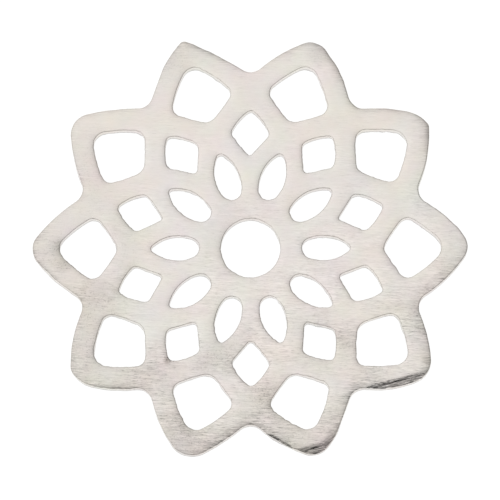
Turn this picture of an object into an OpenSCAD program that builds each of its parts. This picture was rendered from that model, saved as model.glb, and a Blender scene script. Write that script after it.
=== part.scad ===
// Openwork rosette connector: one flat piece of sheet metal, cut as a star of ten points and
// pierced with a round hole, ten petals, ten small diamonds and ten large windows.
// The back face lies on z = 0, the front faces +Z, the hole stands on the Z axis and the first
// point lies on +X.

/* [Sheet] */
// Thickness of the sheet
sheet_t = 1.2; // [0.8:0.05:1.6]
// Amount by which the tumbled edges are broken, all but the front of the rim
edge_break = 0.08; // [0.04:0.01:0.12]

/* [Outline] */
// Distance from the middle to the bottom of each valley between two points
valley_r = 10.18; // [10:0.01:10.5]
// Rounding at the bottom of each valley
valley_rounding = 0.88; // [0.5:0.01:1.2]
// How far the valleys lean off their even places, in degrees
valley_lean = -0.2; // [-1:0.1:1]

/* [Rolled rim] */
// Width of the rolled front edge of the rim where it is least worn
roll_w = 0.12; // [0.08:0.01:0.2]
// Depth of the rolled front edge as a share of its width
roll_depth_share = 0.6; // [0.4:0.05:0.9]

/* [Middle hole] */
// Diameter of the round hole in the middle
hole_d = 3.38; // [2.8:0.01:3.8]

/* [Petal openings] */
// Distance from the middle to the inner end of a petal
petal_from = 2.94; // [2.8:0.01:3.1]
// Distance from the middle to the outer end of a petal
petal_to = 5.7; // [5.5:0.01:5.8]
// Rounding of the inner end of a petal
petal_inner_rounding = 0.59; // [0.5:0.01:0.6]
// Rounding of the pointed outer end of a petal
petal_outer_rounding = 0.25; // [0.15:0.01:0.35]
// Radius of the two long sides of a petal
petal_side_r = 2.3; // [2.1:0.02:2.6]

/* [Diamond openings] */
// Distance from the middle to the inner corner of a diamond
diamond_from = 5.37; // [5.3:0.01:5.5]
// Distance from the middle to the outer corner of a diamond
diamond_to = 7.93; // [7.8:0.01:8]
// Distance from the middle to the widest place of a diamond
diamond_widest_at = 6.63; // [6.5:0.01:6.8]
// Width of a diamond across its side corners
diamond_w = 2.12; // [1.9:0.01:2.2]
// Rounding of the inner corner of a diamond
diamond_inner_rounding = 0.22; // [0.15:0.01:0.3]
// Rounding of the side corners of a diamond
diamond_side_rounding = 0.39; // [0.25:0.01:0.45]
// Rounding of the outer corner of a diamond
diamond_outer_rounding = 0.27; // [0.15:0.01:0.35]
// Radius of the almost straight inner sides of a diamond
diamond_inner_side_r = 60; // [30:1:90]
// Radius of the bulging outer sides of a diamond
diamond_outer_side_r = 3.1; // [2.8:0.1:6]

/* [Window openings] */
// Distance from the middle to the inner corner of a window
window_from = 7.68; // [7.6:0.01:7.8]
// Distance from the middle to the outer corner of a window
window_to = 10.93; // [10.8:0.01:11]
// Distance from the middle to the widest place of a window
window_widest_at = 9.02; // [8.9:0.01:9.1]
// Width of a window across its side corners
window_w = 3.43; // [3.2:0.01:3.5]
// Rounding of the inner corner of a window
window_inner_rounding = 0.74; // [0.5:0.01:0.8]
// Rounding of the side corners of a window
window_side_rounding = 0.57; // [0.4:0.01:0.65]
// Rounding of the outer corner of a window
window_outer_rounding = 0.76; // [0.5:0.01:0.8]
// Radius of the inner sides of a window
window_inner_side_r = 10.8; // [6:0.1:20]
// Radius of the outer sides of a window
window_outer_side_r = 7; // [5:0.1:20]

/* [Hidden] */

// Each point of the star, anticlockwise from +X: the reach of its tip from the middle, the lean
// of the tip off its even place in degrees, the rounding of the tip, and the radii of the gently
// bulging sides before and after it
REACH = 0;
LEAN = 1;
TIP_ROUNDING = 2;
SIDE_BEFORE_R = 3;
SIDE_AFTER_R = 4;
POINTS = [
    [12.46, 0.4, 1.04, 8.1, 8.1],
    [12.47, -1.1, 0.36, 7.8, 8.1],
    [12.44, 0.1, 1.17, 7.2, 8],
    [12.57, -0.1, 0.36, 18.1, 200],
    [12.44, 0.1, 1.22, 12.2, 9.8],
    [12.51, 0, 1.06, 10.2, 8.8],
    [12.46, -1.2, 0.54, 7.4, 6.4],
    [12.44, 0.2, 1.39, 7.4, 12.7],
    [12.4, 0, 1.21, 7.3, 200],
    [12.39, 0.4, 1.28, 6.2, 8.7],
];

// The second, softer corner that follows the tip of some points anticlockwise: which point it is
// on, counted from +X, its reach and lean as for a tip, its rounding, and the radius of the side
// between the tip and it
SHOULDER_OF = 0;
SHOULDER_REACH = 1;
SHOULDER_LEAN = 2;
SHOULDER_ROUNDING = 3;
BETWEEN_R = 4;
SHOULDERS = [
    [1, 12.37, 0.9, 0.98, 2.9],
    [3, 12.01, 1.6, 1.66, 7.4],
    [6, 12.38, 1.3, 0.81, 2.5],
    [8, 11.94, 3.7, 0.94, 3.8],
];

// The places where the rim is worn down further: the direction from the middle and the spread on
// either side, both in degrees, and the width that the rolled edge gains there
WORN_AT = 0;
WORN_SPREAD = 1;
WORN_W = 2;
WORN_PLACES = [
    [0, 14, 0.08],
    [38, 8, 0.16],
    [66, 10, 0.14],
    [104, 8, 0.08],
    [185, 15, 0.06],
    [226, 5, 0.12],
    [264, 12, 0.22],
    [288, 9, 0.26],
    [318, 10, 0.3],
    [340, 14, 0.14],
];

// Each corner of a closed outline: its middle, its rounding, negative where it is a valley, and
// the radius of the side that runs on to the next corner
CORNER_X = 0;
CORNER_Y = 1;
CORNER_ROUNDING = 2;
CORNER_SIDE_R = 3;

// Each station along an outline: its place and the direction that points out of the outline
PLACE_X = 0;
PLACE_Y = 1;
OUT_X = 2;
OUT_Y = 3;

full_turn = 360;
half_turn = 180;
quarter_turn = 90;
point_count = len(POINTS);
point_turn = full_turn / point_count;

// Largest distance between an arc and the chords that stand for it
chord_error = 0.006;
// Chords across the rolled edge of the rim
roll_steps = 3;
// How far a cutter stands out of the sheet
overshoot = 0.05;
hole_sides = 96;
steel_colour = [0.86, 0.84, 0.82];

// Where two circles cross, on the left of the way from the first middle to the second
function crossing(c1, r1, c2, r2) =
    let (
        apart = norm(c2 - c1),
        ahead = (c2 - c1) / apart,
        along = (r1 * r1 - r2 * r2 + apart * apart) / (2 * apart),
        across = sqrt(r1 * r1 - along * along)
    )
    c1 + along * ahead + across * [-ahead.y, ahead.x];

function middle_of(corner) = [corner[CORNER_X], corner[CORNER_Y]];
function bearing(v) = atan2(v.y, v.x);
function toward(angle) = [cos(angle), sin(angle)];

// An angle brought to between minus and plus half a turn
function wrapped(angle) = angle - full_turn * round(angle / full_turn);

// Number of chords for an arc
function chord_count(r, turn) =
    max(1, ceil(abs(turn) / (2 * acos(1 - chord_error / max(r, 2 * chord_error)))));

// Stations of an arc about c; facing is -1 where the outline curves round its outside
function arc_stations(c, r, from, turn, facing) =
    let (count = chord_count(r, turn))
    [for (i = [0 : count]) let (spoke = toward(from + turn * i / count))
        concat(c + r * spoke, facing * spoke)];

// Middle of the side arc that touches the rounding of a corner and of the next one
function side_middle(from, to) = crossing(
    middle_of(from), from[CORNER_SIDE_R] - from[CORNER_ROUNDING],
    middle_of(to), from[CORNER_SIDE_R] - to[CORNER_ROUNDING]
);

// Stations of one corner and of the side that follows it, given the corners before and after it
function corner_stations(before, corner, after) =
    let (
        here = middle_of(corner),
        rounding = corner[CORNER_ROUNDING],
        facing = sign(rounding),
        side = side_middle(corner, after),
        start = bearing(here - side_middle(before, corner)),
        end = bearing(here - side),
        last = bearing(middle_of(after) - side),
        bend = arc_stations(here, abs(rounding), start + (facing < 0 ? half_turn : 0),
            wrapped(end - start), facing),
        run = arc_stations(side, corner[CORNER_SIDE_R], end, wrapped(last - end), 1)
    )
    concat(bend, [for (i = [1 : 1 : len(run) - 2]) run[i]]);

// Stations of a closed outline that turns anticlockwise
function outline_stations(corners) =
    let (count = len(corners))
    [for (i = [0 : count - 1])
        each corner_stations(corners[(i + count - 1) % count], corners[i], corners[(i + 1) % count])];

// Points moved out of the outline by the distance given for each station; z is one level for all
// of them or a list of one for each
function ring_at(stations, z, outward) =
    [for (i = [0 : len(stations) - 1]) let (s = stations[i])
        [s[PLACE_X] + outward[i] * s[OUT_X], s[PLACE_Y] + outward[i] * s[OUT_Y],
            is_list(z) ? z[i] : z]];

// The same amount for each station
function even(stations, amount) = [for (s = stations) amount];

// Middle of a list of points
function average(points) = [for (row = points) 1] * points / len(points);

// An outer corner of the star, on point i
function outer_corner(i, reach, lean, rounding, side_r) =
    concat((reach - rounding) * toward(i * point_turn + lean), rounding, side_r);

// Corners of the star: each tip, its shoulder where it has one, and the valley that follows
star_corners = [
    for (i = [0 : point_count - 1])
    let (
        point = POINTS[i],
        next_point = POINTS[(i + 1) % point_count],
        shoulders = [for (row = SHOULDERS) if (row[SHOULDER_OF] == i) row],
        tip_side_r = len(shoulders) > 0 ? shoulders[0][BETWEEN_R] : point[SIDE_AFTER_R],
        valley_at = (i + 1 / 2) * point_turn + valley_lean,
        valley = (valley_r + valley_rounding) * toward(valley_at)
    )
    each concat(
        [outer_corner(i, point[REACH], point[LEAN], point[TIP_ROUNDING], tip_side_r)],
        [for (row = shoulders)
            outer_corner(i, row[SHOULDER_REACH], row[SHOULDER_LEAN], row[SHOULDER_ROUNDING],
                point[SIDE_AFTER_R])],
        [concat(valley, -valley_rounding, next_point[SIDE_BEFORE_R])]
    )
];

petal_corners = [
    [petal_from + petal_inner_rounding, 0, petal_inner_rounding, petal_side_r],
    [petal_to - petal_outer_rounding, 0, petal_outer_rounding, petal_side_r],
];

// Corners of a four-sided opening, from its inner corner
function four_corners(from, to, widest_at, w, inner, side, outer, inner_side_r, outer_side_r) = [
    [from + inner, 0, inner, inner_side_r],
    [widest_at, side - w / 2, side, outer_side_r],
    [to - outer, 0, outer, outer_side_r],
    [widest_at, w / 2 - side, side, inner_side_r],
];

diamond_corners = four_corners(
    diamond_from, diamond_to, diamond_widest_at, diamond_w,
    diamond_inner_rounding, diamond_side_rounding, diamond_outer_rounding,
    diamond_inner_side_r, diamond_outer_side_r
);

window_corners = four_corners(
    window_from, window_to, window_widest_at, window_w,
    window_inner_rounding, window_side_rounding, window_outer_rounding,
    window_inner_side_r, window_outer_side_r
);

// Width of the rolled edge at a station
function roll_at(station) =
    let (angle = bearing([station[PLACE_X], station[PLACE_Y]]))
    roll_w + [for (place = WORN_PLACES)
        place[WORN_W] * exp(-pow(wrapped(angle - place[WORN_AT]) / place[WORN_SPREAD], 2))]
    * [for (place = WORN_PLACES) 1];

// Closed solid through a stack of rings that have the same number of points
module lofted(rings) {
    count = len(rings[0]);
    last = len(rings) - 1;
    bottom_middle = count * len(rings);
    top_middle = bottom_middle + 1;
    points = concat([for (ring = rings) each ring], [average(rings[0]), average(rings[last])]);
    walls = [
        for (level = [0 : last - 1], i = [0 : count - 1])
        let (
            next = (i + 1) % count,
            low = level * count,
            high = low + count
        )
        each [[low + i, high + i, high + next], [low + i, high + next, low + next]]
    ];
    bottom = [for (i = [0 : count - 1]) [bottom_middle, i, (i + 1) % count]];
    top = [for (i = [0 : count - 1])
        [top_middle, last * count + (i + 1) % count, last * count + i]];
    polyhedron(points, concat(walls, bottom, top));
}

// The star before it is pierced, with a broken back edge and a rolled front edge
module star_blank() {
    stations = outline_stations(star_corners);
    widths = [for (s = stations) roll_at(s)];
    roll_rings = [
        for (step = [0 : roll_steps])
        let (angle = quarter_turn * step / roll_steps)
        ring_at(stations, [for (w = widths) sheet_t - roll_depth_share * w * (1 - sin(angle))],
            [for (w = widths) w * (cos(angle) - 1)])
    ];
    lofted(concat(
        [
            ring_at(stations, 0, even(stations, -edge_break)),
            ring_at(stations, edge_break, even(stations, 0))
        ],
        roll_rings
    ));
}

// Cutter for one opening, which widens at both faces of the sheet to break the edges there
module opening_cutter(corners) {
    stations = outline_stations(corners);
    flare = edge_break + overshoot;
    lofted([
        ring_at(stations, -overshoot, even(stations, flare)),
        ring_at(stations, edge_break, even(stations, 0)),
        ring_at(stations, sheet_t - edge_break, even(stations, 0)),
        ring_at(stations, sheet_t + overshoot, even(stations, flare))
    ]);
}

// Cutter for the round hole, with the same broken edges
module hole_cutter() {
    flare = edge_break + overshoot;
    translate([0, 0, -overshoot])
        cylinder(h = sheet_t + 2 * overshoot, d = hole_d, $fn = hole_sides);
    translate([0, 0, -overshoot])
        cylinder(h = flare, d1 = hole_d + 2 * flare, d2 = hole_d, $fn = hole_sides);
    translate([0, 0, sheet_t - edge_break])
        cylinder(h = flare, d1 = hole_d, d2 = hole_d + 2 * flare, $fn = hole_sides);
}

module rosette() {
    color(steel_colour)
    difference() {
        star_blank();
        hole_cutter();
        for (i = [0 : point_count - 1]) {
            rotate([0, 0, i * point_turn]) {
                opening_cutter(petal_corners);
                opening_cutter(window_corners);
            }
            rotate([0, 0, (i + 1 / 2) * point_turn])
                opening_cutter(diamond_corners);
        }
    }
}

rosette();
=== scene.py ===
"""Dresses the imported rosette: one pierced star of brushed steel sheet, lying on a pale floor."""

import logging
import math
from collections.abc import Callable, Iterator
from dataclasses import dataclass, field, replace
from enum import Enum
from functools import reduce

import bmesh
import bpy
from mathutils import Matrix, Quaternion, Vector
from mathutils.kdtree import KDTree


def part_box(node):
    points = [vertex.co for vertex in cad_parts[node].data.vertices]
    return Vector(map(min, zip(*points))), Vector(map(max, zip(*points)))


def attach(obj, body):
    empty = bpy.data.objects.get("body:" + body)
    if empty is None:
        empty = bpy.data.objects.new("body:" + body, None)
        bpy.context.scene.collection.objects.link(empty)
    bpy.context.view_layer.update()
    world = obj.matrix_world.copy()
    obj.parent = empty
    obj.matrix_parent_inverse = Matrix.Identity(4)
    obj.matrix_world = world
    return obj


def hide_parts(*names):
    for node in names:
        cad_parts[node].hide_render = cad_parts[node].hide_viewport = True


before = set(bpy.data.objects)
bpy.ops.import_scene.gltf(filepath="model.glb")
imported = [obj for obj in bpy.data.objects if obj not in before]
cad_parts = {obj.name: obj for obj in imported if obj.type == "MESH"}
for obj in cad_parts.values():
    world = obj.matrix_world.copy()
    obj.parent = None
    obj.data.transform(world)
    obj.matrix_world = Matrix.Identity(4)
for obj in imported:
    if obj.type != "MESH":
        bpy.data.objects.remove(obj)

MM = 0.001
FULL_TURN = 2 * math.pi
UP = Vector((0, 0, 1))
LEVEL = Vector((1, 1, 0))
EVEN = Vector((1, 1, 1))
WHITE = (1, 1, 1, 1)
# Vertices closer together than this are one
SAME_PLACE = 0.0005 * MM
# Least height of a face's normal where the face belongs to the front or, downwards, the back
FACING = 0.5
# Most corners of a face that is part of an edge or a ring, and not a whole front or back
QUAD = 4
# Share of a height above which a vertex counts as lying at it
NEARLY = 0.9
# Profile of a bevel that follows a circle
ROUND = 0.5
# Level about which noise swings
NOISE_MIDDLE = 0.5
BODY = "root"
NODE = "rosette"
WEAR = "wear"
GRIND = "grind"

Piece = bpy.types.Object
Part = bmesh.types.BMVert | bmesh.types.BMEdge | bmesh.types.BMFace
Socket = bpy.types.NodeSocket

log = logging.getLogger("rosette")


class Face(Enum):
    """A face of the sheet, by the way that it looks along Z."""

    FRONT = 1
    BACK = -1

    def holds(self, face: bmesh.types.BMFace) -> bool:
        """Tells whether a face of a mesh belongs to this face of the sheet."""
        return face.normal.z * self.value > FACING


class Kind(Enum):
    """What is marked in a mesh that is open for editing."""

    POINTS = "VERT"
    EDGES = "EDGE"
    FACES = "FACE"


def toward(angle: float) -> Vector:
    """Level direction of unit length at an angle from +X, in radians."""
    return Vector((math.cos(angle), math.sin(angle), 0))


def bearing(direction: Vector) -> float:
    """Angle of a level direction from +X, in radians."""
    return math.atan2(direction.y, direction.x)


def wrapped(angle: float) -> float:
    """An angle brought to within half a turn of zero, in radians."""
    return angle - FULL_TURN * round(angle / FULL_TURN)


def crossing(first: Vector, first_r: float, second: Vector, second_r: float) -> Vector:
    """Finds where two circles cross, on the left of the way from the first middle to the second.

    Args:
        first: middle of the first circle
        first_r: its radius
        second: middle of the second circle
        second_r: its radius

    Returns:
        The crossing point, level with the first middle.
    """
    apart = (second - first).length
    ahead = (second - first) / apart
    along = (first_r**2 - second_r**2 + apart**2) / (2 * apart)
    across = math.sqrt(first_r**2 - along**2)
    return first + along * ahead + across * UP.cross(ahead)


class Bench:
    """The workbench: starts, marks and finishes meshes with Blender's own tools."""

    @staticmethod
    def clear() -> None:
        """Deselects every object, the CAD nodes among them."""
        bpy.ops.object.select_all(action="DESELECT")

    @staticmethod
    def start(name: str) -> Piece:
        """Adds an empty mesh object at the origin and opens it for editing.

        Args:
            name: the new object's name

        Returns:
            The object, in edit mode.
        """
        Bench.clear()
        bpy.ops.mesh.primitive_plane_add(size=MM)
        piece = bpy.context.active_object
        piece.name = piece.data.name = name
        bpy.ops.object.mode_set(mode="EDIT")
        bpy.ops.mesh.select_mode(type="VERT")
        bpy.ops.mesh.select_all(action="SELECT")
        bpy.ops.mesh.delete(type="VERT")
        return piece

    @staticmethod
    def place_point(place: Vector) -> None:
        """Adds one selected vertex to the mesh that is open for editing."""
        bpy.ops.mesh.primitive_plane_add(size=MM, location=place)
        bpy.ops.mesh.merge(type="CENTER")

    @staticmethod
    def extrude(move: Vector) -> None:
        """Extrudes what is selected by a move."""
        bpy.ops.mesh.extrude_region_move(TRANSFORM_OT_translate={"value": move})

    @staticmethod
    def mark(kind: Kind, wanted: Callable[[Part], bool]) -> None:
        """Selects what passes a test in the mesh that is open for editing, and nothing else.

        Args:
            kind: whether points, edges or faces are marked
            wanted: the test
        """
        mesh = bpy.context.edit_object.data
        bpy.ops.mesh.select_mode(type=kind.value)
        bpy.ops.mesh.select_all(action="DESELECT")
        build = bmesh.from_edit_mesh(mesh)
        parts = {Kind.POINTS: build.verts, Kind.EDGES: build.edges, Kind.FACES: build.faces}
        for part in parts[kind]:
            part.select = wanted(part)
        build.select_flush_mode()
        bmesh.update_edit_mesh(mesh)

    @staticmethod
    def merge_doubles() -> None:
        """Merges the vertices that lie on each other in the mesh that is open for editing."""
        bpy.ops.mesh.select_mode(type="VERT")
        bpy.ops.mesh.select_all(action="SELECT")
        bpy.ops.mesh.remove_doubles(threshold=SAME_PLACE)

    @staticmethod
    def face_outwards() -> None:
        """Turns the faces of the mesh that is open for editing outwards."""
        bpy.ops.mesh.select_all(action="SELECT")
        bpy.ops.mesh.normals_make_consistent(inside=False)

    @staticmethod
    def flatten(share: float) -> None:
        """Brings the mesh that is open for editing down to a share of its height."""
        bpy.ops.mesh.select_all(action="SELECT")
        bpy.ops.transform.resize(value=(1, 1, share), center_override=(0, 0, 0))

    @staticmethod
    def close() -> None:
        """Leaves edit mode."""
        bpy.ops.object.mode_set(mode="OBJECT")

    @staticmethod
    def apply(piece: Piece, kind: str, **settings: object) -> None:
        """Adds a modifier to a piece, sets it and applies it.

        Args:
            piece: the piece, in object mode
            kind: the modifier's type
            settings: its settings by name
        """
        bpy.context.view_layer.objects.active = piece
        modifier = piece.modifiers.new(kind.lower(), kind)
        for name, value in settings.items():
            setattr(modifier, name, value)
        bpy.ops.object.modifier_apply(modifier=modifier.name)

    @staticmethod
    def turned_copy(piece: Piece, angle: float, middle: Vector, lean: float) -> Piece:
        """Copies a piece with its own mesh, leans it and turns it about the Z axis, in its mesh.

        Args:
            piece: the piece to copy
            angle: the turn about the Z axis in radians, anticlockwise from above
            middle: the piece's own middle, about which it leans first
            lean: that first turn, in radians

        Returns:
            The copy.
        """
        Bench.clear()
        piece.select_set(True)
        bpy.context.view_layer.objects.active = piece
        bpy.ops.object.duplicate(linked=False)
        copy = bpy.context.active_object
        copy.rotation_euler = (0, 0, angle + lean)
        copy.location = Matrix.Rotation(angle, 3, "Z") @ (
            middle - Matrix.Rotation(lean, 3, "Z") @ middle
        )
        bpy.ops.object.transform_apply(location=True, rotation=True, scale=False)
        return copy

    @staticmethod
    def join(pieces: list[Piece]) -> Piece:
        """Joins pieces into the first of them.

        Args:
            pieces: the pieces, in object mode

        Returns:
            The first piece, which now holds the meshes of all.
        """
        Bench.clear()
        for piece in pieces:
            piece.select_set(True)
        bpy.context.view_layer.objects.active = pieces[0]
        bpy.ops.object.join()
        return pieces[0]


@dataclass(frozen=True)
class Corner:
    """A rounded corner of a cut outline, with the side that runs on from it. Lengths are in metres.

    Attributes:
        middle: middle of the arc that rounds the corner
        rounding: radius of that arc, negative where the outline turns round a valley
        side_r: radius of the bulging side that runs on to the next corner
    """

    middle: Vector
    rounding: float
    side_r: float


@dataclass(frozen=True)
class Bend:
    """One arc of an outline.

    Attributes:
        middle: middle of the arc
        radius: its radius in metres
        turn: how far it turns in radians, anticlockwise from above
    """

    middle: Vector
    radius: float
    turn: float

    def steps(self, chord_error: float, longest: float) -> int:
        """Number of chords that keep close to the arc and are no longer than a length."""
        largest = 2 * math.acos(1 - chord_error / self.radius)
        return max(1, math.ceil(abs(self.turn) / min(largest, longest / self.radius)))


@dataclass(frozen=True)
class CutOutline:
    """A closed outline of rounded corners and bulging sides that meet smoothly, anticlockwise.

    Attributes:
        corners: its corners in order
        chord_error: how far a chord may lie from its arc, in metres
        longest_chord: greatest length of a chord, in metres
    """

    corners: tuple[Corner, ...]
    chord_error: float = 0.0015 * MM
    longest_chord: float = 0.08 * MM

    def after(self, index: int) -> Corner:
        """The corner that follows a corner."""
        return self.corners[(index + 1) % len(self.corners)]

    def side_middle(self, index: int) -> Vector:
        """Middle of the arc of the side that runs on from a corner."""
        here, after = self.corners[index], self.after(index)
        return crossing(
            here.middle, here.side_r - here.rounding, after.middle, here.side_r - after.rounding
        )

    def start(self) -> tuple[Vector, Vector]:
        """Finds where the first corner's arc begins.

        Returns:
            The place, and the level direction that points out of the outline there.
        """
        first = self.corners[0]
        outward = (first.middle - self.side_middle(-1)).normalized()
        return first.middle + first.rounding * outward, outward

    def bends(self) -> Iterator[Bend]:
        """Goes round the outline from its start.

        Yields:
            The arc of each corner, and then of the side that follows it.
        """
        for index, corner in enumerate(self.corners):
            before, side = self.side_middle(index - 1), self.side_middle(index)
            arrives = bearing(corner.middle - before)
            leaves = bearing(corner.middle - side)
            ends = bearing(self.after(index).middle - side)
            yield Bend(corner.middle, abs(corner.rounding), wrapped(leaves - arrives))
            yield Bend(side, corner.side_r, wrapped(ends - leaves))

    def spin_selected(self) -> None:
        """Spins what is selected at the start once round the outline, and closes the seam."""
        for bend in self.bends():
            bpy.ops.mesh.spin(
                steps=bend.steps(self.chord_error, self.longest_chord),
                angle=-bend.turn,
                center=bend.middle,
                axis=UP,
            )
        Bench.merge_doubles()


@dataclass(frozen=True)
class Shoulder:
    """A second, softer corner that follows the tip of a point, anticlockwise.

    Attributes:
        reach: distance of its far side from the middle, in millimetres
        lean: how far it leans off the even place of its point, in degrees
        rounding: its radius, in millimetres
        between_r: radius of the side between the tip and it, in millimetres
    """

    reach: float
    lean: float
    rounding: float
    between_r: float


@dataclass(frozen=True)
class Tip:
    """One point of the star.

    Attributes:
        reach: distance of the tip from the middle, in millimetres
        lean: how far the tip leans off its even place, in degrees
        rounding: radius of the tip, in millimetres
        side_before_r: radius of the bulging side that runs up to the tip, in millimetres
        side_after_r: radius of the bulging side that runs down from it, in millimetres
        shoulder: the second corner, where the point has one
    """

    reach: float
    lean: float
    rounding: float
    side_before_r: float
    side_after_r: float
    shoulder: Shoulder | None = None

    def corners(self, angle: float, shrink: float) -> list[Corner]:
        """Places the point's corners.

        Args:
            angle: direction of the point's even place, in radians
            shrink: how far the point is drawn in, in millimetres

        Returns:
            The corner of the tip, and the shoulder's where there is one.
        """
        steps: list[Tip | Shoulder] = [self]
        side_rs = [self.side_after_r]
        if self.shoulder:
            steps.append(self.shoulder)
            side_rs.insert(0, self.shoulder.between_r)
        made = []
        for step, side_r in zip(steps, side_rs):
            way = toward(angle + math.radians(step.lean))
            place = (step.reach - shrink - step.rounding) * MM * way
            made.append(Corner(place, step.rounding * MM, side_r * MM))
        return made


@dataclass(frozen=True)
class WornPlace:
    """A stretch of the rim that is worn down further than the rest, and darker there: partly real
    wear, partly painted shade.

    Attributes:
        at: its direction from the middle, in degrees
        spread: how far it spreads on either side, in degrees
        edge_fall: how far the edge itself is worn down, in millimetres
        face_fall: how far the face beside it is worn down towards the edge, in millimetres
    """

    at: float
    spread: float
    edge_fall: float
    face_fall: float

    def share(self, angle: float) -> float:
        """Share of its wear that is felt in a direction from the middle, in radians."""
        away = math.degrees(wrapped(angle - math.radians(self.at))) / self.spread
        return math.exp(-away * away)


@dataclass(frozen=True)
class Wear:
    """How one spot of the rim is worn. Lengths are in millimetres.

    Attributes:
        fall: how far the front face is worn down there
        share: share of the darkness that the spot has, partly real grinding and partly painted
            shade
        along: how far along the grinding marks it lies
        across: how far across them it lies
    """

    fall: float
    share: float
    along: float
    across: float


@dataclass(frozen=True)
class GroundFlat:
    """A flat that is ground across the front edge of a point, with marks along it.

    Attributes:
        at: direction of its middle from the middle of the rosette, in degrees
        spread: how far it may run on either side, in degrees
        faces: the level direction that it leans to, in degrees
        reach: distance of its upper edge from the middle of the rosette, in millimetres
        slope: fall for each millimetre across it
        darkness: share of the darkness, partly real grinding and partly painted shade, that it has
            at either end, anticlockwise
        run_in: width over which that darkness sets in, in millimetres
        run_out: angle over which the flat runs out at either end, in degrees
    """

    at: float
    spread: float
    faces: float
    reach: float
    slope: float
    darkness: tuple[float, float]
    run_in: float = 0.05
    run_out: float = 1.5

    def wear(self, place: Vector) -> Wear:
        """Works out how it wears a place on the front face.

        Args:
            place: the place, level with the middle of the rosette

        Returns:
            The wear, which has no fall and no share outside the flat.
        """
        away = math.degrees(wrapped(bearing(place) - math.radians(self.at)))
        ahead = toward(math.radians(self.faces))
        across = place.dot(ahead) / MM - self.reach
        along = place.dot(UP.cross(ahead)) / MM
        if across < 0 or abs(away) > self.spread:
            return Wear(0.0, 0.0, along, across)
        start, end = self.darkness
        left = min(1.0, (self.spread - abs(away)) / self.run_out)
        share = left * (start + (end - start) * (away / self.spread + 1) / 2)
        share *= min(1.0, across / self.run_in)
        return Wear(left * across * self.slope, share, along, across)


@dataclass(frozen=True)
class Crown:
    """The gentle fall of the front face towards a cut edge.

    Attributes:
        width: how far in from the rolled edge the fall begins, in millimetres
        drop: how far the face falls over that width, in millimetres
        steps: number of facets across the fall, ever steeper towards the edge
        margin: width of the flat strip that holds the face level inside the fall, in millimetres
    """

    width: float
    drop: float
    steps: int = 2
    margin: float = 0.03

    def facets(self) -> list[tuple[float, float]]:
        """Divides the fall into facets.

        Returns:
            Width and fall of each facet in metres, from the steep outer one inwards.
        """
        shares = [2 * step + 1 for step in reversed(range(self.steps))]
        whole = sum(shares)
        return [(self.width * MM / self.steps, self.drop * MM * part / whole) for part in shares]


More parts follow.
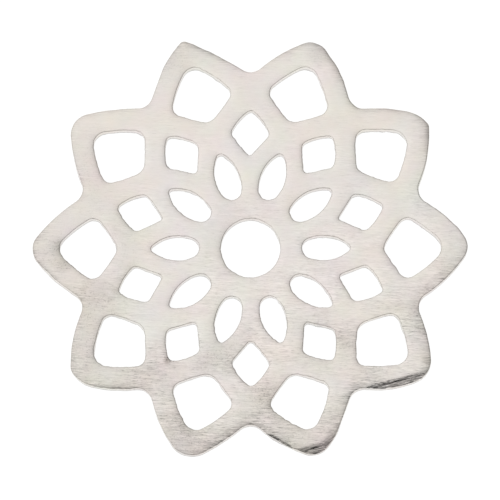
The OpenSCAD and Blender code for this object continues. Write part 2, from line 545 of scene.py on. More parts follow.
@dataclass
class StarRim:
    """The slab that the star is cut from, with its rolled front edge. Lengths are in millimetres.

    Attributes:
        tips: its points, anticlockwise from +X
        worn_places: where the rim is worn down further than the rest
        ground_flats: the flats that are ground across its front edge
        worn_deep: the fall at which the steel is as dark as wear and painted shade make it
        valley_r: distance of the valleys from the middle
        valley_rounding: radius of a valley
        valley_lean: how far the valleys lean off their even places, in degrees
        shrink: how far the points and valleys are drawn in
        roll_w: width of the rolled front edge
        back_break: width of the broken back edge
        flatness: height of both edges, as a share of their width
        roll_steps: number of facets across an edge
        closest: distance at which vertices that draw together at the points are merged
        edge_reach: how far in from the rim the wear of its edge reaches
        wall_depth: depth up to which a vertex belongs to the wall
        wall_share: share of that darkness, of wear and painted shade, that the top of the wall has
        crown: the gentle fall of the front face
    """

    tips: tuple[Tip, ...] = (
        Tip(12.46, 0.4, 1.04, 8.1, 8.1),
        Tip(12.47, -1.1, 0.36, 7.8, 8.1, Shoulder(12.37, 0.9, 0.98, 2.9)),
        Tip(12.44, 0.1, 1.17, 7.2, 8),
        Tip(12.57, -0.1, 0.36, 18.1, 200, Shoulder(12.01, 1.6, 1.66, 7.4)),
        Tip(12.44, 0.1, 1.22, 12.2, 9.8),
        Tip(12.51, 0, 1.06, 10.2, 8.8),
        Tip(12.46, -1.2, 0.54, 7.4, 6.4, Shoulder(12.38, 1.3, 0.81, 2.5)),
        Tip(12.44, 0.2, 1.39, 7.4, 12.7),
        Tip(12.4, 0, 1.21, 7.3, 200, Shoulder(11.94, 3.7, 0.94, 3.8)),
        Tip(12.39, 0.4, 1.28, 6.2, 8.7),
    )
    worn_places: tuple[WornPlace, ...] = (
        WornPlace(0, 5, 0.005, 0.005),
        WornPlace(18, 5, 0.0, 0.004),
        WornPlace(34, 5, 0.03, 0.018),
        WornPlace(47, 6, 0.045, 0.0),
        WornPlace(56, 5, 0.01, 0.003),
        WornPlace(65, 5, 0.02, 0.024),
        WornPlace(76, 6, 0.04, 0.01),
        WornPlace(104, 8, 0.035, 0.005),
        WornPlace(143, 28, 0.012, 0.0),
        WornPlace(183, 8, 0.05, 0.01),
        WornPlace(200, 8, 0.012, 0.002),
        WornPlace(216, 6, 0.02, 0.01),
        WornPlace(226, 4, 0.08, 0.01),
        WornPlace(252, 6, 0.005, 0.018),
        WornPlace(262, 6, 0.0, 0.06),
        WornPlace(272, 6, 0.01, 0.05),
        WornPlace(288, 6, 0.06, 0.05),
        WornPlace(297, 5, 0.0, 0.015),
        WornPlace(305, 4, 0.03, 0.03),
        WornPlace(315, 6, 0.05, 0.03),
        WornPlace(325, 4.5, 0.005, 0.06),
        WornPlace(334, 5, 0.01, 0.01),
        WornPlace(345, 6, 0.0, 0.015),
        WornPlace(353, 4, 0.0, 0.02),
    )
    ground_flats: tuple[GroundFlat, ...] = (
        GroundFlat(276, 8.5, 240.4, 8.7, 0.4, (1.0, 1.25), 0.08, 4),
        GroundFlat(287, 6, 283, 11.77, 0.42, (1.1, 1.3), 0.2),
        GroundFlat(292, 6, 307, 11.28, 0.35, (1.1, 0.4), 0.2),
        GroundFlat(316, 9.8, 283.8, 9.29, 0.45, (1.6, 0.6), 0.03, 0.5),
    )
    worn_deep: float = 0.25
    valley_r: float = 10.18
    valley_rounding: float = 0.88
    valley_lean: float = -0.2
    shrink: float = 0.014
    roll_w: float = 0.09
    back_break: float = 0.08
    flatness: float = 0.6
    roll_steps: int = 5
    closest: float = 0.045
    edge_reach: float = 0.32
    wall_depth: float = 0.001
    wall_share: float = 0.1
    crown: Crown = Crown(width=0.56, drop=0.01, steps=7)

    def outline(self) -> CutOutline:
        """Rounds the star's points and valleys.

        Returns:
            Its outline, drawn in a little so that the cut's waver stays within the part's box.
        """
        count = len(self.tips)
        pitch = FULL_TURN / count
        valley_rounding = self.valley_rounding * MM
        valley_middle = (self.valley_r - self.shrink) * MM + valley_rounding
        corners = []
        for index, tip in enumerate(self.tips):
            corners += tip.corners(index * pitch, self.shrink)
            valley_at = (index + 0.5) * pitch + math.radians(self.valley_lean)
            side_r = self.tips[(index + 1) % count].side_before_r * MM
            corners.append(Corner(valley_middle * toward(valley_at), -valley_rounding, side_r))
        return CutOutline(tuple(corners))

    def weigh_edges(self, slab: Piece, height: float) -> None:
        """Gives the edges round the slab's faces the share of the roll that they take.

        Args:
            slab: the slab, in object mode
            height: level of its front face, in metres
        """
        mesh = slab.data
        shares = mesh.attributes.new("bevel_weight_edge", "FLOAT", "EDGE")
        for edge, share in zip(mesh.edges, shares.data):
            low, high = sorted(mesh.vertices[i].co.z for i in edge.vertices)
            if low > height / 2:
                share.value = 1.0
            elif high < height / 2:
                share.value = self.back_break / self.roll_w

    def ring_face(self, face: Face) -> None:
        """Lays the rings of the crown and the margin inside a face, and opens what is left of it.

        Vertices that draw together on the way in, at the points, are merged on each ring.

        Args:
            face: the face, of the slab that is open for editing
        """
        insets = self.crown.facets() if face is Face.FRONT else []
        for width, fall in insets + [(self.crown.margin * MM, 0.0)]:
            Bench.mark(Kind.FACES, lambda f: face.holds(f) and len(f.verts) > QUAD)
            bpy.ops.mesh.inset(thickness=width, depth=fall)
            bpy.ops.mesh.remove_doubles(threshold=self.closest * MM)
        Bench.mark(Kind.FACES, lambda f: face.holds(f) and len(f.verts) > QUAD)
        bpy.ops.mesh.delete(type="FACE")

    def worn(self, place: Vector, depth: float) -> Wear:
        """Works out how a place on the front face is worn.

        Args:
            place: the place
            depth: its distance from the rim, in millimetres

        Returns:
            The wear of whichever wears it most, a ground flat or the worn places together.
        """
        angle = bearing(place)
        on_edge = max(0.0, 1 - depth / self.edge_reach) ** 2
        on_face = max(0.0, 1 - depth / (self.roll_w + self.crown.width)) ** 2
        fall = sum(
            spot.share(angle) * (spot.edge_fall * on_edge + spot.face_fall * on_face)
            for spot in self.worn_places
        )
        share = math.sqrt(min(1.0, fall / self.worn_deep))
        rubbed = Wear(fall, share, place.x / MM, place.y / MM)
        flats = [flat.wear(place) for flat in self.ground_flats]
        return max(flats + [rubbed], key=lambda wear: wear.fall)

    def wear(self, rim: Piece, thickness: float) -> None:
        """Eases the front face down towards the edge where the rim is worn.

        Args:
            rim: the rim with its rolled edge and the rings of its crown, in object mode
            thickness: thickness of the sheet in metres
        """
        mesh = rim.data
        lowest = NEARLY * self.back_break * MM * self.flatness
        foot = [v.co.copy() for v in mesh.vertices if lowest < v.co.z < thickness / 2]
        tree = KDTree(len(foot))
        for index, place in enumerate(foot):
            tree.insert(place * LEVEL, index)
        tree.balance()
        wears = []
        for point in mesh.vertices:
            depth = tree.find(point.co * LEVEL)[2] / MM
            wear = self.worn(point.co * LEVEL, depth)
            if point.co.z < thickness / 2:
                wear = replace(wear, fall=0.0, share=0.0)
            elif depth < self.wall_depth:
                wear = replace(wear, share=wear.share * self.wall_share)
            wears.append(wear)
        deepest = max(wear.fall for wear in wears)
        # the third value is the share of darkness: partly real wear, partly painted shade of the
        # worn rim
        grind = mesh.attributes.new(GRIND, "FLOAT_VECTOR", "POINT")
        places = [value for wear in wears for value in (wear.along, wear.across, wear.share)]
        grind.data.foreach_set("vector", places)
        group = rim.vertex_groups.new(name=WEAR)
        for index, wear in enumerate(wears):
            group.add([index], wear.fall / deepest, "REPLACE")
        Bench.apply(
            rim,
            "DISPLACE",
            direction="Z",
            strength=-deepest * MM,
            mid_level=0.0,
            vertex_group=group.name,
        )

    def build(self, thickness: float) -> Piece:
        """Cuts the slab, rolls its edges and opens its two faces.

        Args:
            thickness: thickness of the sheet in metres

        Returns:
            The rim: its wall and edges, with a narrow margin of each face.
        """
        tall = (thickness - self.crown.drop * MM) / self.flatness
        rim = Bench.start("sheet")
        outline = self.outline()
        place, _ = outline.start()
        Bench.place_point(place)
        outline.spin_selected()
        bpy.ops.mesh.edge_face_add()
        Bench.extrude(tall * UP)
        Bench.face_outwards()
        Bench.close()
        self.weigh_edges(rim, tall)
        Bench.apply(
            rim,
            "BEVEL",
            limit_method="WEIGHT",
            width=self.roll_w * MM,
            segments=self.roll_steps,
            profile=ROUND,
            use_clamp_overlap=False,
        )
        bpy.ops.object.mode_set(mode="EDIT")
        Bench.flatten(self.flatness)
        for face in Face:
            self.ring_face(face)
        Bench.close()
        self.wear(rim, thickness)
        return rim


@dataclass
class Opening:
    """An opening cut through the sheet, repeated evenly round the middle.

    Attributes:
        name: what it is called
        corners: corners of its outline where it lies towards +X
        count: how many there are round the middle
        first_at: direction of the first, in degrees
        leans: how far each leans about its own middle, in degrees
        edge_w: width of its broken edges, in millimetres
        edge_steps: number of facets across an edge
        flatness: height of an edge, as a share of its width
        crown: the gentle fall of the front face beside it
    """

    name: str
    corners: tuple[Corner, ...]
    count: int = 10
    first_at: float = 0.0
    leans: tuple[float, ...] = ()
    edge_w: float = 0.07
    edge_steps: int = 3
    flatness: float = 0.6
    crown: Crown = Crown(width=0.34, drop=0.018)

    def section(self, place: Vector, outward: Vector, thickness: float) -> None:
        """Draws the section of the sheet's cut edge: crowned face, rounded edge, wall, back.

        Args:
            place: where the wall stands, on the floor
            outward: the level direction into the metal
            thickness: thickness of the sheet in metres
        """
        edge_w, margin = self.edge_w * MM, self.crown.margin * MM
        facets = self.crown.facets()
        steepest_w, steepest_fall = facets[0]
        edge_fall = steepest_fall / steepest_w * edge_w
        across = edge_w + self.crown.width * MM + margin
        Bench.place_point(place + across * outward + thickness / self.flatness * UP)
        Bench.extrude(-margin * outward)
        for width, fall in reversed(facets):
            Bench.extrude(-width * outward - fall / self.flatness * UP)
        Bench.extrude(-edge_w * outward - edge_fall / self.flatness * UP)
        wall = thickness - self.crown.drop * MM - edge_fall
        Bench.extrude(-wall / self.flatness * UP)
        Bench.extrude((edge_w + margin) * outward)
        Bench.mark(Kind.POINTS, lambda v: (v.co - place).xy.length < margin / 2)
        bpy.ops.mesh.bevel(
            affect="VERTICES", offset=edge_w, segments=self.edge_steps, profile=ROUND
        )
        Bench.flatten(self.flatness)

    def build(self, thickness: float) -> list[Piece]:
        """Spins the cut edge round one opening and copies it round the middle.

        Args:
            thickness: thickness of the sheet in metres

        Returns:
            One piece for each opening.
        """
        outline = CutOutline(self.corners)
        first = Bench.start(self.name)
        place, outward = outline.start()
        self.section(place, outward, thickness)
        outline.spin_selected()
        Bench.close()
        middle = sum((corner.middle for corner in self.corners), Vector()) / len(self.corners)
        made = []
        for index in range(self.count):
            angle = math.radians(self.first_at) + index * FULL_TURN / self.count
            lean = math.radians(self.leans[index]) if self.leans else 0.0
            made.append(Bench.turned_copy(first, angle, middle, lean))
        bpy.data.objects.remove(first)
        return made


def petal_opening() -> Opening:
    """Draws the petals next to the middle hole.

    Returns:
        The opening: two rounded ends joined by two long sides.
    """
    inner_end, outer_end = 2.94 * MM, 5.7 * MM
    inner_rounding, outer_rounding, side_r = 0.59 * MM, 0.25 * MM, 2.3 * MM
    return Opening(
        "petal",
        (
            Corner(Vector((inner_end + inner_rounding, 0, 0)), inner_rounding, side_r),
            Corner(Vector((outer_end - outer_rounding, 0, 0)), outer_rounding, side_r),
        ),
        leans=(0.1, -1.4, -1.3, -0.5, 2.0, 1.9, 0.3, -0.4, -0.8, 1.5),
    )


@dataclass(frozen=True)
class FourSides:
    """Sizes of a four-sided opening that points at the middle. All are in millimetres.

    Attributes:
        inner_corner: distance of its inner corner from the middle of the rosette
        outer_corner: distance of its outer corner
        widest_at: distance of its two side corners
        width: its width across these
        inner_rounding: radius of the inner corner
        side_rounding: radius of the side corners
        outer_rounding: radius of the outer corner
        inner_side_r: radius of the bulging sides at the inner corner
        outer_side_r: radius of the bulging sides at the outer corner
    """

    inner_corner: float
    outer_corner: float
    widest_at: float
    width: float
    inner_rounding: float
    side_rounding: float
    outer_rounding: float
    inner_side_r: float
    outer_side_r: float

    def corners(self) -> tuple[Corner, ...]:
        """Places the corners.

        Returns:
            The four corners in metres, from the inner one.
        """
        side_place = self.width / 2 - self.side_rounding
        rows = (
            (self.inner_corner + self.inner_rounding, 0.0, self.inner_rounding, self.inner_side_r),
            (self.widest_at, -side_place, self.side_rounding, self.outer_side_r),
            (self.outer_corner - self.outer_rounding, 0.0, self.outer_rounding, self.outer_side_r),
            (self.widest_at, side_place, self.side_rounding, self.inner_side_r),
        )
        return tuple(Corner(Vector((x, y, 0)) * MM, r * MM, side * MM) for x, y, r, side in rows)


def diamond_opening() -> Opening:
    """Draws the small diamonds.

    Returns:
        The opening, one towards each valley.
    """
    sizes = FourSides(
        inner_corner=5.37,
        outer_corner=7.93,
        widest_at=6.63,
        width=2.12,
        inner_rounding=0.22,
        side_rounding=0.39,
        outer_rounding=0.27,
        inner_side_r=60.0,
        outer_side_r=3.1,
    )
    leans = (-1.1, -1.5, -2.3, 2.0, 2.5, 1.8, 1.5, 0.2, 0.7, -1.4)
    return Opening("diamond", sizes.corners(), first_at=18.0, leans=leans)


def window_opening() -> Opening:
    """Draws the large windows.

    Returns:
        The opening, one in each point.
    """
    sizes = FourSides(
        inner_corner=7.68,
        outer_corner=10.93,
        widest_at=9.02,
        width=3.43,
        inner_rounding=0.74,
        side_rounding=0.57,
        outer_rounding=0.76,
        inner_side_r=10.8,
        outer_side_r=7.0,
    )
    leans = (0.5, 0.4, -1.3, 0.5, 0.5, -0.2, 1.1, 0.6, 0.9, -0.7)
    return Opening("window", sizes.corners(), leans=leans)


def middle_hole() -> Opening:
    """Draws the round hole in the middle.

    Returns:
        The opening: two half turns about middles that lie close together.
    """
    hole_r, aside = 1.69 * MM, 0.01 * MM
    corners = tuple(Corner(Vector((x, 0, 0)), hole_r, 2 * hole_r) for x in (aside, -aside))
    return Opening("middle_hole", corners, count=1)


@dataclass(frozen=True)
class Fade:
    """A smooth step from one level to another.

    Attributes:
        start: the value at which it starts, and the level up to there
        end: the value at which it ends, and the level from there on
    """

    start: tuple[float, float]
    end: tuple[float, float]


class NodeBench:
    """Lays out the nodes of a finish or of the light in code."""

    def __init__(self, tree: bpy.types.NodeTree) -> None:
        """Empties a node tree and keeps it.

        Args:
            tree: the tree to lay out
        """
        self.tree = tree
        tree.nodes.clear()

    def add(
        self, kind: str, inputs: dict[str | int, object] | None = None, **settings: object
    ) -> bpy.types.Node:
        """Adds a node.

        Args:
            kind: the node's type, without the word ShaderNode
            inputs: values, or output sockets to link, by input name or number
            settings: the node's own settings by name

        Returns:
            The node.
        """
        node = self.tree.nodes.new(f"ShaderNode{kind}")
        for name, value in settings.items():
            setattr(node, name, value)
        for key, value in (inputs or {}).items():
            if isinstance(value, Socket):
                self.tree.links.new(value, node.inputs[key])
            else:
                node.inputs[key].default_value = value
        return node

    def place(self, kind: str = "Object") -> Socket:
        """Adds the coordinates of the place that is shaded, of a kind."""
        return self.add("TexCoord").outputs[kind]

    def surface(self, inputs: dict[str, object]) -> None:
        """Adds the surface of a material, with its inputs by name."""
        shader = self.add("BsdfPrincipled", inputs)
        self.add("OutputMaterial", {"Surface": shader.outputs["BSDF"]})

    def math(self, operation: str, *values: object) -> Socket:
        """Adds a Math node and gives its result."""
        return self.add("Math", dict(enumerate(values)), operation=operation).outputs[0]

    def product(self, *values: object) -> Socket:
        """Multiplies values with each other."""
        return reduce(lambda whole, value: self.math("MULTIPLY", whole, value), values)

    def weighted(self, start: float, *terms: tuple[Socket, float]) -> Socket:
        """Adds values, each times its weight, to a start.

        Args:
            start: the number to add to
            terms: each value with its weight

        Returns:
            The sum.
        """
        total = start
        for value, weight in terms:
            total = self.math("MULTIPLY_ADD", value, weight, total)
        return total

    def vector(self, operation: str, *values: object, **scale: object) -> Socket:
        """Adds a Vector Math node, for SCALE with its Scale, and gives its result as a vector."""
        inputs = dict(enumerate(values)) | scale
        return self.add("VectorMath", inputs, operation=operation).outputs["Vector"]

    def measure(self, operation: str, *values: object) -> Socket:
        """Adds a Vector Math node and gives its result as a number."""
        inputs = dict(enumerate(values))
        return self.add("VectorMath", inputs, operation=operation).outputs["Value"]

    def ramp(self, value: Socket, fade: Fade) -> Socket:
        """Adds a smooth step between two levels.

        Args:
            value: the value that the step follows
            fade: where the step starts and ends, with the levels there

        Returns:
            The level.
        """
        names = ("From Min", "To Min", "From Max", "To Max")
        inputs = {"Value": value} | dict(zip(names, fade.start + fade.end))
        return self.add("MapRange", inputs, interpolation_type="SMOOTHSTEP").outputs[0]

    def noise(
        self,
        place: Socket,
        size: Vector,
        angle: float = 0.0,
        detail: float = 1.0,
        roughness: float = 0.6,
    ) -> bpy.types.Node:
        """Adds cloudy noise of a size, stretched and turned.

        Args:
            place: coordinates of the place
            size: size of its clouds along its own axes
            angle: its turn about the Z axis, in degrees
            detail: how many finer layers it has
            roughness: how strong each finer layer is beside the last

        Returns:
            The noise node.
        """
        mapping = self.add(
            "Mapping",
            {"Vector": place, "Rotation": (0, 0, math.radians(angle)), "Scale": size},
            vector_type="TEXTURE",
        )
        inputs = {"Vector": mapping.outputs[0], "Scale": 1.0, "Detail": detail}
        return self.add("TexNoise", inputs | {"Roughness": roughness})


def new_material(name: str) -> tuple[bpy.types.Material, NodeBench]:
    """Starts a material.

    Args:
        name: its name

    Returns:
        The material, and the bench that lays out its nodes.
    """
    material = bpy.data.materials.new(name)
    material.use_nodes = True
    return material, NodeBench(material.node_tree)


@dataclass(frozen=True)
class Stain:
    """A darkened place on the steel.

    Attributes:
        x: its place along X, in millimetres
        y: its place along Y, in millimetres
        reach: distance at which it has faded away, in millimetres
        strength: share of the light that it takes in its middle
    """

    x: float
    y: float
    reach: float
    strength: float


@dataclass(frozen=True)
class Streak:
    """One layer of brush lines.

    Attributes:
        length: length of its lines, in millimetres
        width: width of its lines, in millimetres
        share: share of this layer in the whole brushing
        angle: angle of its lines from +X, in degrees
    """

    length: float
    width: float
    share: float
    angle: float = -3.0


@dataclass(frozen=True)
class BrushedSteel:
    """Pale satin steel, brushed along X, with faint tints and stains, painted shade where the rim
    is worn and a painted contact shadow low on the walls.

    Attributes:
        name: name of the material
        colour: colour of the clean steel near the middle
        outer_colour: colour of the slightly warmer steel towards the points
        outward: how the outer colour sets in, by the distance from the middle
        roughness: roughness of its satin
        streaks: the layers of brush lines
        line_detail: how many finer layers the noise of a layer of lines has
        streak_shade: how much the lines darken and lighten the steel near +Y
        groove_depth: depth of the lines there, in millimetres
        scratches: the single dark scratches among the lines, their share being their darkness
        scratched: how a swing of the noise makes a scratch
        strong_side: direction in which lines and scratches grow stronger
        side_fade: how many times stronger they are, by how far a place lies in that direction
        patch_size: size of the patches in which they are stronger, in millimetres
        patches: how much stronger the patches are
        grinding: the layers of grinding marks where the rim is worn
        grind_shade: how much these darken and lighten the steel where it is worn most
        grind_depth: depth of these marks, in millimetres
        wear_and_painted_shade: share of the light that the steel loses where the rim is worn most:
            partly darker worn steel, partly painted shade of the rolled and ground edges
        worn_streaks: how much stronger the lines are where the rim is worn most
        foot: painted contact shadow: share of the light that is left low on the walls, by height
        tint_size: size of the faint clouds of colour, in millimetres
        tint_detail: how many finer layers they have
        tint_swing: how far these swing the colour
        stain_colour: share of red, green and blue that a stain of full strength takes
        stains: the darkened places
        stain_streaks: how much stronger the lines are in a stain of full strength
        speck_size: size of the dark specks in the stains, in millimetres
        specked: how a swing of the noise makes a speck
        speck_shade: how dark the specks are in a stain of full strength
    """

    name: str = "satin steel"
    colour: tuple[float, float, float] = (0.765, 0.722, 0.683)
    outer_colour: tuple[float, float, float] = (0.765, 0.718, 0.668)
    outward: Fade = Fade((5 * MM, 0.0), (12 * MM, 1.0))
    roughness: float = 0.32
    streaks: tuple[Streak, ...] = (
        Streak(0.35, 0.032, 0.5),
        Streak(0.8, 0.07, 0.4),
        Streak(3.0, 0.25, 0.1),
    )
    line_detail: float = 2.0
    streak_shade: float = 0.3
    groove_depth: float = 0.004
    scratches: Streak = Streak(0.4, 0.045, 0.08)
    scratched: Fade = Fade((0.56, 0.0), (0.72, 1.0))
    strong_side: tuple[float, float, float] = (0.3, -0.95, 0.0)
    side_fade: Fade = Fade((-6 * MM, 1.0), (9 * MM, 3.2))
    patch_size: float = 1.6
    patches: Fade = Fade((0.35, 0.6), (0.65, 1.4))
    grinding: tuple[Streak, ...] = (Streak(2.6, 0.05, 0.55, 0), Streak(0.6, 0.035, 0.45, 0))
    grind_shade: float = 5.2
    grind_depth: float = 0.02
    # painted shade of the rolled and ground rim, together with the darker worn steel
    wear_and_painted_shade: float = 0.42
    worn_streaks: float = 3.0
    # painted contact shadow along the foot of every wall
    foot: Fade = Fade((0.05 * MM, 0.45), (0.5 * MM, 1.0))
    tint_size: float = 2.2
    tint_detail: float = 3.0
    tint_swing: float = 0.1
    stain_colour: tuple[float, float, float] = (0.97, 1.0, 1.04)
    # the broad ones make the face darker towards the lower left and the bottom tip
    stains: tuple[Stain, ...] = (
        Stain(-4.5, 11.3, 2.4, 0.1),
        Stain(-9.5, 5.1, 3.0, 0.05),
        Stain(-9.0, 2.8, 3.0, 0.04),
        Stain(-11.2, -0.4, 3.0, 0.08),
        Stain(-11.0, 0.1, 0.85, 0.2),
        Stain(-10.7, -0.9, 0.8, 0.16),
        Stain(-7.3, 0.5, 2.4, 0.06),
        Stain(-6.8, -1.6, 1.6, 0.08),
        Stain(-9.1, -3.1, 2.5, 0.11),
        Stain(-9.4, -6.0, 3.4, 0.12),
        Stain(-8.4, -2.5, 1.6, 0.05),
        Stain(-7.8, -4.2, 1.0, 0.12),
        Stain(-5.8, -7.2, 2.6, 0.11),
        Stain(-4.1, -10.2, 2.5, 0.12),
        Stain(-3.6, -11.4, 2.0, 0.06),
        Stain(-1.3, -5.6, 2.4, 0.08),
        Stain(-2.3, -6.5, 1.6, 0.1),
        Stain(1.8, -4.3, 1.4, 0.09),
        Stain(0.9, -8.9, 2.0, 0.07),
        Stain(0.8, -8.4, 1.1, 0.1),
        Stain(4.2, -5.4, 2.4, 0.11),
        Stain(2.6, -9.0, 2.0, 0.05),
        Stain(5.6, -5.4, 1.0, 0.07),
        Stain(7.0, -7.0, 2.2, 0.08),
        Stain(9.8, -4.2, 2.8, 0.1),
        Stain(2.0, -14.0, 9.0, 0.14),
        Stain(11.8, -0.5, 2.5, 0.05),
        Stain(10.6, 6.6, 1.6, 0.06),
        Stain(8.6, 3.6, 0.25, 0.15),
        Stain(3.9, 11.2, 1.0, 0.12),
        Stain(-0.8, 0.8, 3.6, 0.05),
        Stain(-4.8, -6.45, 0.4, 0.7),
        Stain(-4.4, -6.4, 0.35, 0.4),
        Stain(-4.4, -6.85, 0.35, 0.2),
        Stain(-9.6, -2.4, 0.4, 0.25),
        Stain(-7.8, -2.4, 0.35, 0.25),
        Stain(-8.0, -3.0, 0.4, 0.15),
    )
    stain_streaks: float = 5.0
    speck_size: float = 0.09
    specked: Fade = Fade((0.58, 0.0), (0.7, 1.0))
    speck_shade: float = 1.6

    def layer(self, bench: NodeBench, place: Socket, streak: Streak, unit: float) -> Socket:
        """Lays the noise of one layer of lines, in coordinates with a unit for a millimetre."""
        size = Vector((streak.length, streak.width, streak.length)) * unit
        return bench.noise(place, size, streak.angle, self.line_detail).outputs["Fac"]

    def lines(
        self, bench: NodeBench, place: Socket, streaks: tuple[Streak, ...], unit: float
    ) -> Socket:
        """Lays layers of lines, which together swing about zero.

        Args:
            bench: the material's nodes
            place: coordinates of the place
            streaks: the layers
            unit: a millimetre in those coordinates

        Returns:
            The swing.
        """
        layers = [self.layer(bench, place, streak, unit) for streak in streaks]
        swings = [bench.math("SUBTRACT", layer, NOISE_MIDDLE) for layer in layers]
        return bench.weighted(0.0, *zip(swings, (streak.share for streak in streaks)))

    def tinted(self, bench: NodeBench) -> Socket:
        """Gives the clean steel its colour.

        Args:
            bench: the material's nodes

        Returns:
            The colour: warmer towards the points, with faint clouds.
        """
        outward = bench.ramp(bench.measure("LENGTH", bench.place()), self.outward)
        base = bench.add(
            "Mix",
            {"Factor": outward, "A": Vector(self.colour), "B": Vector(self.outer_colour)},
            data_type="VECTOR",
        ).outputs["Result"]
        cloud = bench.noise(bench.place(), EVEN * self.tint_size * MM, detail=self.tint_detail)
        swing = bench.vector("SUBTRACT", cloud.outputs["Color"], EVEN * NOISE_MIDDLE)
        return bench.vector("MULTIPLY_ADD", swing, EVEN * self.tint_swing, base)

    def stain(self, bench: NodeBench) -> Socket:
        """Adds up the strength of the stains.

        Args:
            bench: the material's nodes

        Returns:
            The share of the light that they take.
        """
        place = bench.place()
        taken = 0.0
        for stain in self.stains:
            away = bench.measure("DISTANCE", place, Vector((stain.x, stain.y, 1)) * MM)
            here = bench.ramp(away, Fade((0.0, stain.strength), (stain.reach * MM, 0.0)))
            taken = bench.math("ADD", taken, here)
        return taken

    def stained(self, bench: NodeBench, tinted: Socket, taken: Socket) -> Socket:
        """Darkens a colour by the share of the light that the stains take."""
        share = bench.vector("SCALE", Vector(self.stain_colour), Scale=taken)
        return bench.vector("SUBTRACT", tinted, bench.vector("MULTIPLY", share, tinted))

    def strength(self, bench: NodeBench, taken: Socket, worn: Socket) -> Socket:
        """Works out how strong the brush lines are.

        Args:
            bench: the material's nodes
            taken: the share of the light that the stains take
            worn: share of the rim's wear, which also sets its painted shade

        Returns:
            Their strength: more towards one side, in patches, in stains and where worn.
        """
        place = bench.place()
        lower = bench.ramp(bench.measure("DOT_PRODUCT", place, self.strong_side), self.side_fade)
        cloud = bench.noise(place, EVEN * self.patch_size * MM)
        patch = bench.ramp(cloud.outputs["Fac"], self.patches)
        marked = bench.weighted(1.0, (taken, self.stain_streaks), (worn, self.worn_streaks))
        return bench.product(lower, patch, marked)

    def build(self) -> bpy.types.Material:
        """Makes the material.

        Returns:
            The material, which reads the attribute with the grinding marks.
        """
        material, bench = new_material(self.name)
        place = bench.place()
        taken = self.stain(bench)
        grind = bench.add("Attribute", attribute_name=GRIND).outputs["Vector"]
        # worn is the share of the rim's darkness: real wear and painted shade
        along, across, worn = bench.add("SeparateXYZ", {0: grind}).outputs
        strength = self.strength(bench, taken, worn)
        brushed = bench.product(self.lines(bench, place, self.streaks, MM), strength)
        scratch = bench.ramp(self.layer(bench, place, self.scratches, MM), self.scratched)
        scratched = bench.product(scratch, strength)
        grain = bench.noise(place, EVEN * self.speck_size * MM)
        specks = bench.product(bench.ramp(grain.outputs["Fac"], self.specked), taken)
        marks = bench.add("CombineXYZ", {0: along, 1: across}).outputs[0]
        ground = bench.product(self.lines(bench, marks, self.grinding, 1.0), worn)
        shade = bench.weighted(
            1.0,
            (brushed, self.streak_shade),
            (scratched, -self.scratches.share),
            (specks, -self.speck_shade),
        )
        # painted shade, with real wear: the rim's worn share darkens the colour, and the grinding
        # marks swing about that
        wear_and_painted_shade = bench.weighted(1.0, (worn, -self.wear_and_painted_shade), (ground, self.grind_shade))
        # painted contact shadow by height, low on the walls
        height = bench.add("SeparateXYZ", {0: place}).outputs["Z"]
        light = bench.product(wear_and_painted_shade, bench.ramp(height, self.foot), shade)
        stained = self.stained(bench, self.tinted(bench), taken)
        grooves = bench.weighted(
            0.0, (brushed, self.groove_depth * MM), (ground, self.grind_depth * MM)
        )
        bump = bench.add("Bump", {"Height": grooves, "Distance": 1.0}).outputs[0]
        finish = {"Base Color": bench.vector("SCALE", stained, Scale=light), "Normal": bump}
        bench.surface(finish | {"Metallic": 1.0, "Roughness": self.roughness})
        return material


@dataclass(frozen=True)
class PaleFloor:
    """The dull, pale finish of the floor.

    Attributes:
        grey: share of the light that it gives back
        roughness: its roughness
        glow: strength of its own light, which keeps it pale
    """

    grey: float = 0.15
    roughness: float = 0.9
    glow: float = 0.95

    def build(self) -> bpy.types.Material:
        """Makes the material.

        Returns:
            The material.
        """
        material, bench = new_material("pale floor")
        finish = {"Base Color": (self.grey, self.grey, self.grey, 1), "Roughness": self.roughness}
        bench.surface(finish | {"Emission Color": WHITE, "Emission Strength": self.glow})
        return material


@dataclass(frozen=True)
class Waver:
    """The unevenness of the cut, sideways only.

    Attributes:
        size: size of its waves, in millimetres
        swing: the whole way that it swings, in millimetres
    """

    size: float
    swing: float

    def apply(self, sheet: Piece) -> None:
        """Moves the cut edges to and fro along X and Y.

        Args:
            sheet: the mesh that holds them, in object mode
        """
        for axis in "XY":
            waves = bpy.data.textures.new(f"waver {axis} {self.size}", "CLOUDS")
            waves.noise_scale = self.size * MM
            waves.noise_depth = 1
            Bench.apply(
                sheet,
                "DISPLACE",
                texture=waves,
                texture_coords="LOCAL",
                direction=axis,
                strength=self.swing * MM,
                mid_level=NOISE_MIDDLE,
            )


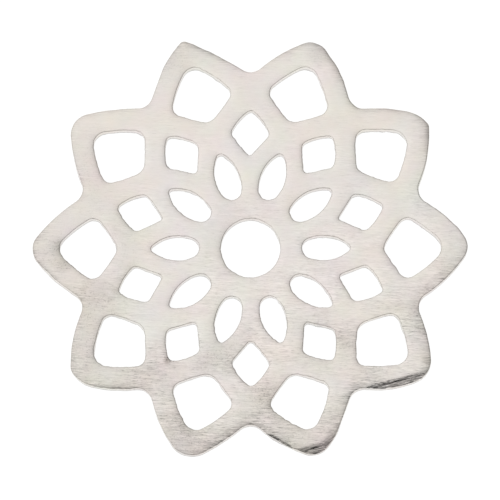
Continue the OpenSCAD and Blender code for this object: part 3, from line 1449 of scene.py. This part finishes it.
@dataclass
class RosetteSheet:
    """The whole rosette: the rim, its openings and the two faces between them.

    Attributes:
        thickness: thickness of the sheet in metres
        waver: unevenness of all the cuts
        pierced_waver: finer unevenness of the openings alone
        smooth_angle: angle up to which facets are shaded as one, in degrees
        level_share: how far off a face its margin may lie, as a share of the thickness
        rim: the rim of the star
    """

    thickness: float
    waver: Waver = Waver(0.7, 0.06)
    pierced_waver: Waver = Waver(0.22, 0.05)
    smooth_angle: float = 35.0
    level_share: float = 0.01
    rim: StarRim = field(default_factory=StarRim)

    def openings(self) -> list[Opening]:
        """The four kinds of opening, from the middle outwards."""
        return [middle_hole(), petal_opening(), diamond_opening(), window_opening()]

    def fill_faces(self) -> None:
        """Fills the front and the back between the rim and the openings."""
        near = self.level_share * self.thickness
        for level in (self.thickness, 0.0):
            Bench.mark(
                Kind.EDGES,
                lambda e: e.is_boundary and all(abs(v.co.z - level) < near for v in e.verts),
            )
            bpy.ops.mesh.fill(use_beauty=True)

    def build(self) -> Piece:
        """Builds the sheet as one closed mesh.

        Returns:
            The finished sheet at the origin.
        """
        rim = self.rim.build(self.thickness)
        pierced = []
        for opening in self.openings():
            made = opening.build(self.thickness)
            log.info("%s: %d cut", opening.name, len(made))
            pierced += made
        cuts = Bench.join(pierced)
        self.pierced_waver.apply(cuts)
        sheet = Bench.join([rim, cuts])
        self.waver.apply(sheet)
        bpy.ops.object.mode_set(mode="EDIT")
        self.fill_faces()
        Bench.merge_doubles()
        Bench.face_outwards()
        Bench.close()
        bpy.ops.object.shade_smooth_by_angle(angle=math.radians(self.smooth_angle))
        return sheet

    def dress(self, sheet: Piece) -> None:
        """Gives the sheet its finish and ties it to the frame.

        Args:
            sheet: the finished mesh
        """
        sheet.data.materials.clear()
        sheet.data.materials.append(BrushedSteel().build())
        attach(sheet, BODY)
        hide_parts(NODE)


@dataclass(frozen=True)
class Dimming:
    """A side towards which the studio's light dims.

    Attributes:
        toward: direction of that side
        fade: level of the light, by how far a direction leans towards that side
    """

    toward: tuple[float, float, float]
    fade: Fade


@dataclass
class Studio:
    """The floor, the light and the camera of a plain product photograph. Lengths are in metres.

    Attributes:
        middle: middle of the sheet
        elevation: height of the camera above the floor, in degrees
        roll: turn of the camera about its line of sight, in degrees
        distance: distance of the camera
        clip: how many times nearer and farther than the sheet the camera sees
        seen_width: width of what the camera sees at the sheet
        aim: how far off the middle the camera looks
        sensor: width of the camera's sensor, in millimetres
        floor_size: length of the floor's sides
        floor_gap: how far it lies under the rosette
        brightness: strength of the light
        dimmings: the sides towards which it dims
    """

    middle: Vector
    elevation: float = 83.5
    roll: float = -0.206
    distance: float = 0.45
    clip: float = 100.0
    seen_width: float = 28.67 * MM
    aim: tuple[float, float, float] = (-0.034 * MM, -0.046 * MM, 0.0)
    sensor: float = 36.0
    floor_size: float = 1.0
    floor_gap: float = 0.01 * MM
    brightness: float = 1.122
    dimmings: tuple[Dimming, ...] = (
        Dimming((0.97, 0.24, 0.0), Fade((-0.02, 1.0), (0.74, 0.35))),
        Dimming((0.28, -0.96, 0.0), Fade((0.3, 1.0), (0.85, 0.4))),
        Dimming((0.0, 0.0, -1.0), Fade((-0.97, 1.0), (-0.2, 0.65))),
    )

    def camera(self) -> None:
        """Sets up a long lens that looks down almost square on the rosette."""
        angle = math.radians(self.elevation)
        back = Vector((0, -math.cos(angle), math.sin(angle)))
        target = self.middle + Vector(self.aim)
        bpy.ops.object.camera_add(location=target + self.distance * back)
        camera = bpy.context.active_object
        camera.name = "camera"
        camera.rotation_mode = "QUATERNION"
        look = (-back).to_track_quat("-Z", "Y")
        camera.rotation_quaternion = look @ Quaternion((0, 0, 1), math.radians(self.roll))
        camera.data.sensor_width = self.sensor
        camera.data.lens = self.sensor * self.distance / self.seen_width
        camera.data.clip_start = self.distance / self.clip
        camera.data.clip_end = self.distance * self.clip
        bpy.context.scene.camera = camera

    def floor(self) -> None:
        """Lays a pale floor just under the rosette."""
        bpy.ops.mesh.primitive_plane_add(size=self.floor_size, location=-self.floor_gap * UP)
        plane = bpy.context.active_object
        plane.name = "floor"
        plane.data.materials.append(PaleFloor().build())

    def light(self) -> None:
        """Lights the set with a soft white surround that dims to the right and to the front."""
        world = bpy.data.worlds.new("studio")
        bpy.context.scene.world = world
        world.use_nodes = True
        bench = NodeBench(world.node_tree)
        direction = bench.place("Generated")
        strength = 1.0
        for dimming in self.dimmings:
            lean = bench.measure("DOT_PRODUCT", direction, dimming.toward)
            strength = bench.math("MINIMUM", strength, bench.ramp(lean, dimming.fade))
        strength = bench.product(strength, self.brightness)
        background = bench.add("Background", {"Color": WHITE, "Strength": strength})
        bench.add("OutputWorld", {"Surface": background.outputs[0]})


def main() -> None:
    """Builds the rosette and its studio in order, and notes the sizes."""
    logging.basicConfig(level=logging.INFO, format="%(name)s: %(message)s")
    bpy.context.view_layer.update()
    low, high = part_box(NODE)
    studio = Studio(UP * (low.z + high.z) / 2)
    studio.camera()
    studio.floor()
    studio.light()
    bpy.context.scene.view_settings.view_transform = "Standard"
    rosette = RosetteSheet(thickness=high.z - low.z)
    sheet = rosette.build()
    rosette.dress(sheet)
    log.info("sheet: %d faces", len(sheet.data.polygons))


if __name__ == "__main__":
    main()
